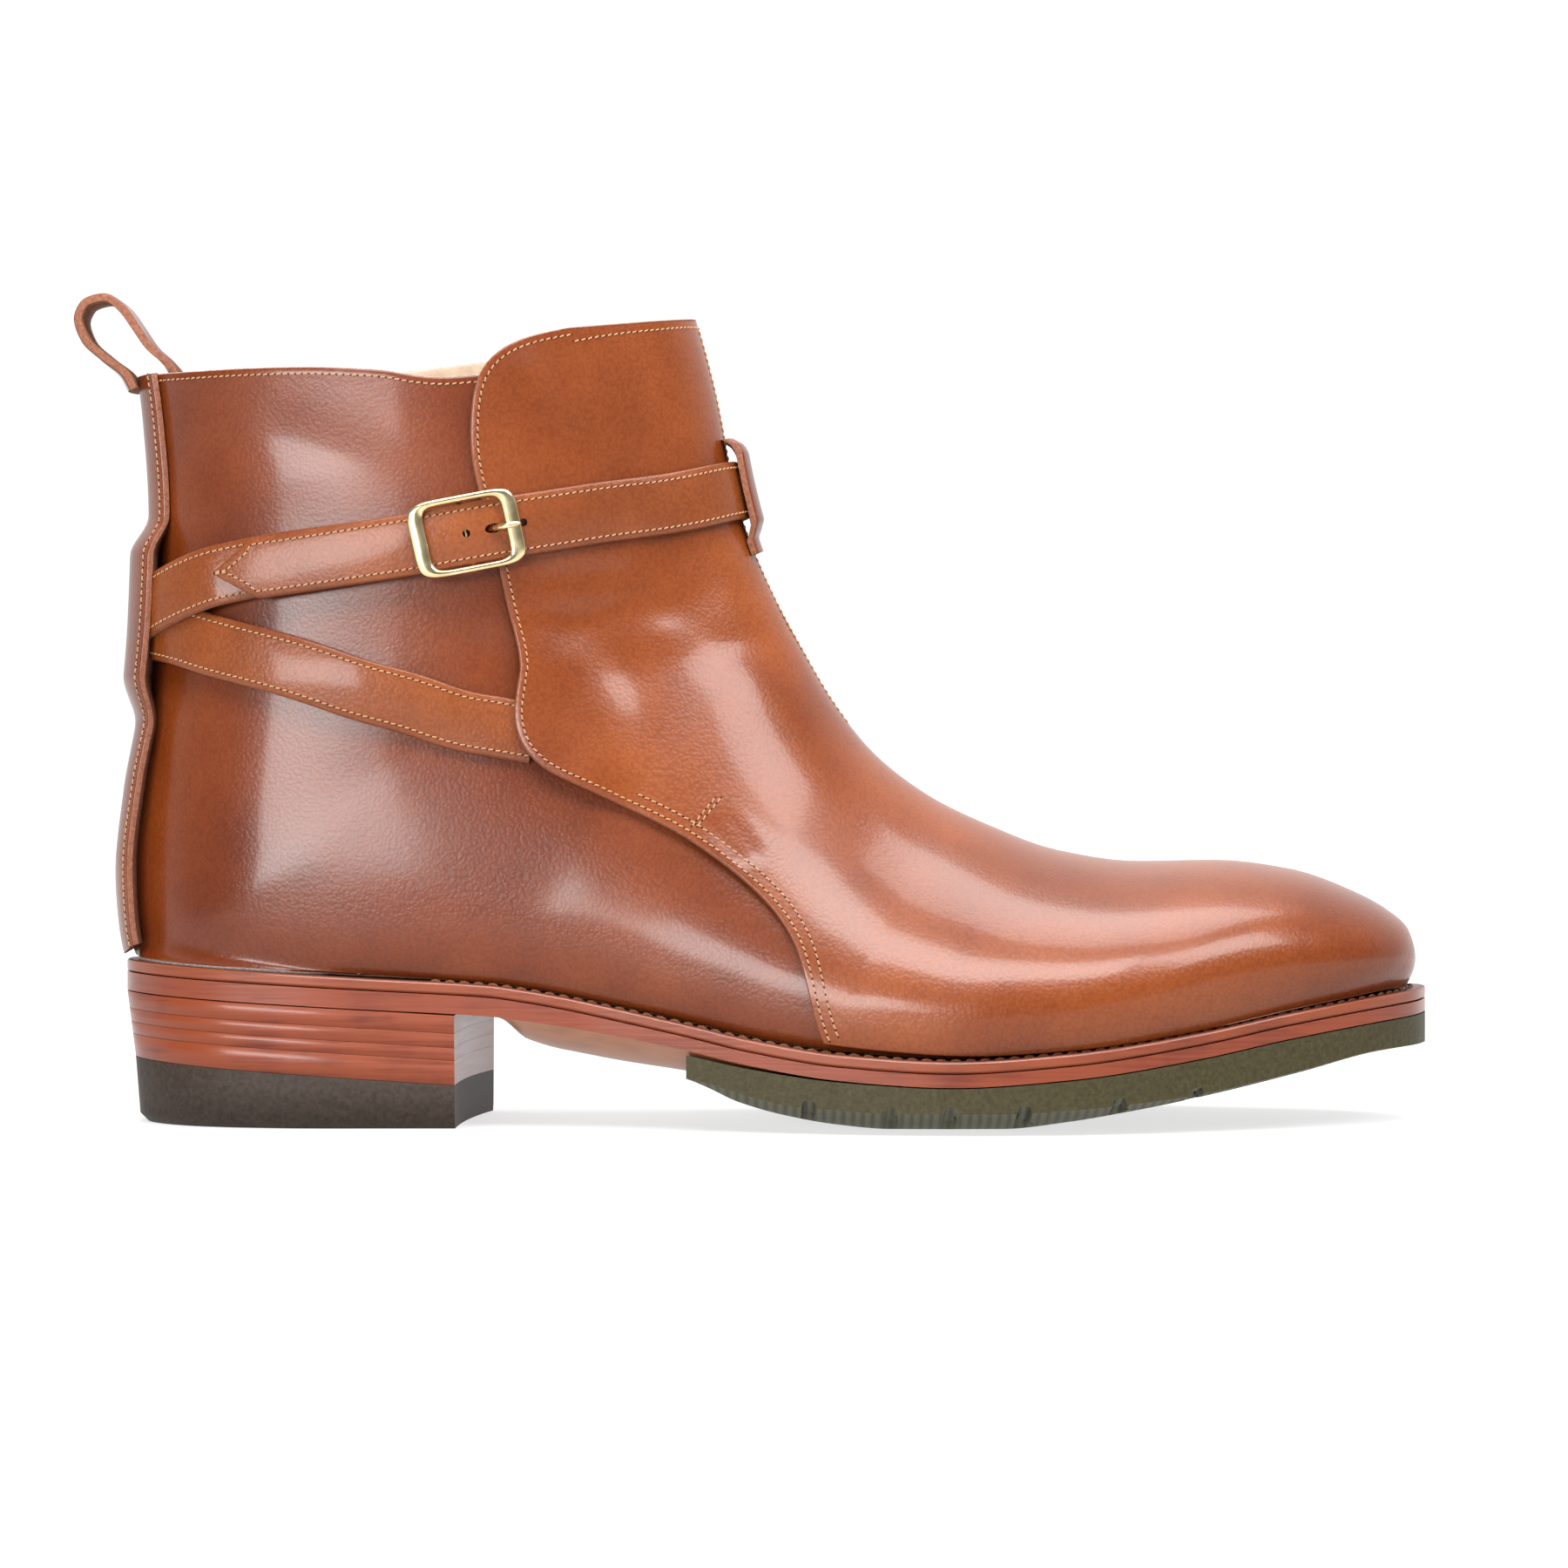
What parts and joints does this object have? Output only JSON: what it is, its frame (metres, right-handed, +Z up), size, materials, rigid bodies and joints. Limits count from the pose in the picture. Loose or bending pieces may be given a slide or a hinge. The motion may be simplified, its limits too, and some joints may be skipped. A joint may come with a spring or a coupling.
{
  "type": "jodhpur boot",
  "caption": "Ankle boot with a wrapped front panel, crossed ankle straps with a buckle, a back pull loop, a welted leather sole with a rubber forepart and a stacked heel.",
  "frame": {"origin": "on the floor under the middle of the heel", "axes": "+X towards the toe, -Y the outer side of the foot, +Z up"},
  "size_m": [0.3177, 0.1044, 0.1939],
  "materials": {
    "calf": "polished tan calf",
    "calf_panel": "polished tan calf",
    "insole_leather": "plain natural leather",
    "welt_leather": "stained and waxed",
    "sole_leather": "stained and burnished edge",
    "heel_leather": "stacked, stained and burnished",
    "heel_rubber": "dark brown, matte",
    "sole_rubber": "olive brown, matte",
    "brass": "polished"
  },
  "bodies": {
    "root": {"upper": "calf", "front_panel": "calf_panel", "back_stay": "calf", "pull_loop": "calf", "long_strap": "calf_panel", "buckle_strap": "calf_panel", "keeper": "calf", "buckle_frame": "brass", "buckle_prong": "brass", "insole": "insole_leather", "welt": "welt_leather", "outsole": "sole_leather", "forepart_rubber": "sole_rubber", "heel_lift_1": "heel_leather", "heel_lift_2": "heel_leather", "heel_lift_3": "heel_leather", "heel_lift_4": "heel_leather", "heel_top_piece": "heel_rubber"}
  },
  "joints": []
}
